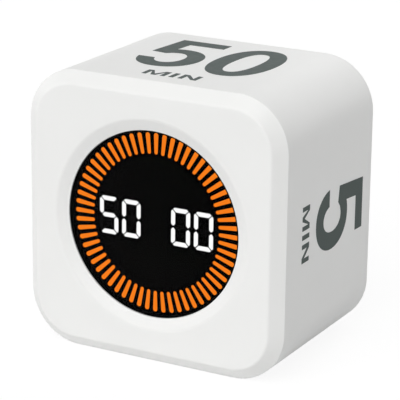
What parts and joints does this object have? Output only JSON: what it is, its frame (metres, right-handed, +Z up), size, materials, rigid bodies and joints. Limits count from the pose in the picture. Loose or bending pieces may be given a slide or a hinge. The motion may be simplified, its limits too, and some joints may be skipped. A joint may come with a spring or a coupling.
{
  "type": "countdown timer",
  "caption": "Square block countdown timer with rounded corners, a round ring display on its face, and push keys, slide switch and charging port at the rear.",
  "frame": {"origin": "centre of the underside, at the middle of the body's depth", "axes": "+Z up, -Y out of the display face, +Y out of the rear face with the keys"},
  "size_m": [0.062, 0.046, 0.062],
  "materials": {
    "white_shell": "fine satin texture",
    "window": "polished, lightly smoked",
    "black_mask": "matt black",
    "orange_light": "lit, diffusing",
    "white_light": "lit, diffusing",
    "dark_light": "unlit, smoked",
    "board_green": "solder mask",
    "led_package": "clear resin",
    "chip_black": "moulded epoxy",
    "screw_steel": "zinc plated",
    "tin_plate": "drawn and plated",
    "tray_grey": "plain moulded",
    "foam_black": "closed-cell foam",
    "foil_silver": "laminated foil pouch",
    "wire_red": "PVC insulation",
    "connector_cream": "nylon",
    "ribbon_white": "polyester laminate",
    "switch_brown": "phenolic",
    "key_grey": "fine satin texture"
  },
  "bodies": {
    "housing": {"front_bezel": "white_shell", "sleeve": "white_shell", "rear_cover": "white_shell", "lens": "window", "lens_tape": "foam_black", "light_mask": "black_mask", "ring_bars": "orange_light", "lit_segments": "white_light", "unlit_segments": "dark_light", "display_board": "board_green", "ring_leds": "led_package", "digit_leds": "led_package", "driver_chips": "chip_black", "display_screws": "screw_steel", "battery_tray": "tray_grey", "battery_tape": "foam_black", "battery_cell": "foil_silver", "protection_board": "board_green", "battery_leads": "wire_red", "battery_plug": "connector_cream", "battery_socket": "connector_cream", "ribbon_cable": "ribbon_white", "ribbon_sockets": "connector_cream", "control_board": "board_green", "control_chips": "chip_black", "control_screws": "screw_steel", "usb_shell": "tin_plate", "usb_tongue": "chip_black", "mode_switch_base": "switch_brown", "mode_switch_can": "tin_plate", "tact_bases": "chip_black", "tact_plates": "tin_plate", "buzzer": "chip_black", "buzzer_gasket": "foam_black", "case_screws": "screw_steel"},
    "mode_slider": {"mode_knob": "key_grey", "mode_lever": "chip_black"},
    "minute_key": {"minute_button": "key_grey", "minute_plunger": "chip_black"},
    "second_key": {"second_button": "key_grey", "second_plunger": "chip_black"}
  },
  "joints": [
    {"name": "minute_key_press", "type": "slide", "parent": "housing", "child": "minute_key", "axis": [0, -1, 0], "range_m": [0, 0.0005], "stiffness_N_per_m": 2000, "springref_m": -0.0004},
    {"name": "second_key_press", "type": "slide", "parent": "housing", "child": "second_key", "axis": [0, -1, 0], "range_m": [0, 0.0005], "stiffness_N_per_m": 2000, "springref_m": -0.0004},
    {"name": "mode_knob_slide", "type": "slide", "parent": "housing", "child": "mode_slider", "axis": [1, 0, 0], "range_m": [-0.004, 0]}
  ]
}
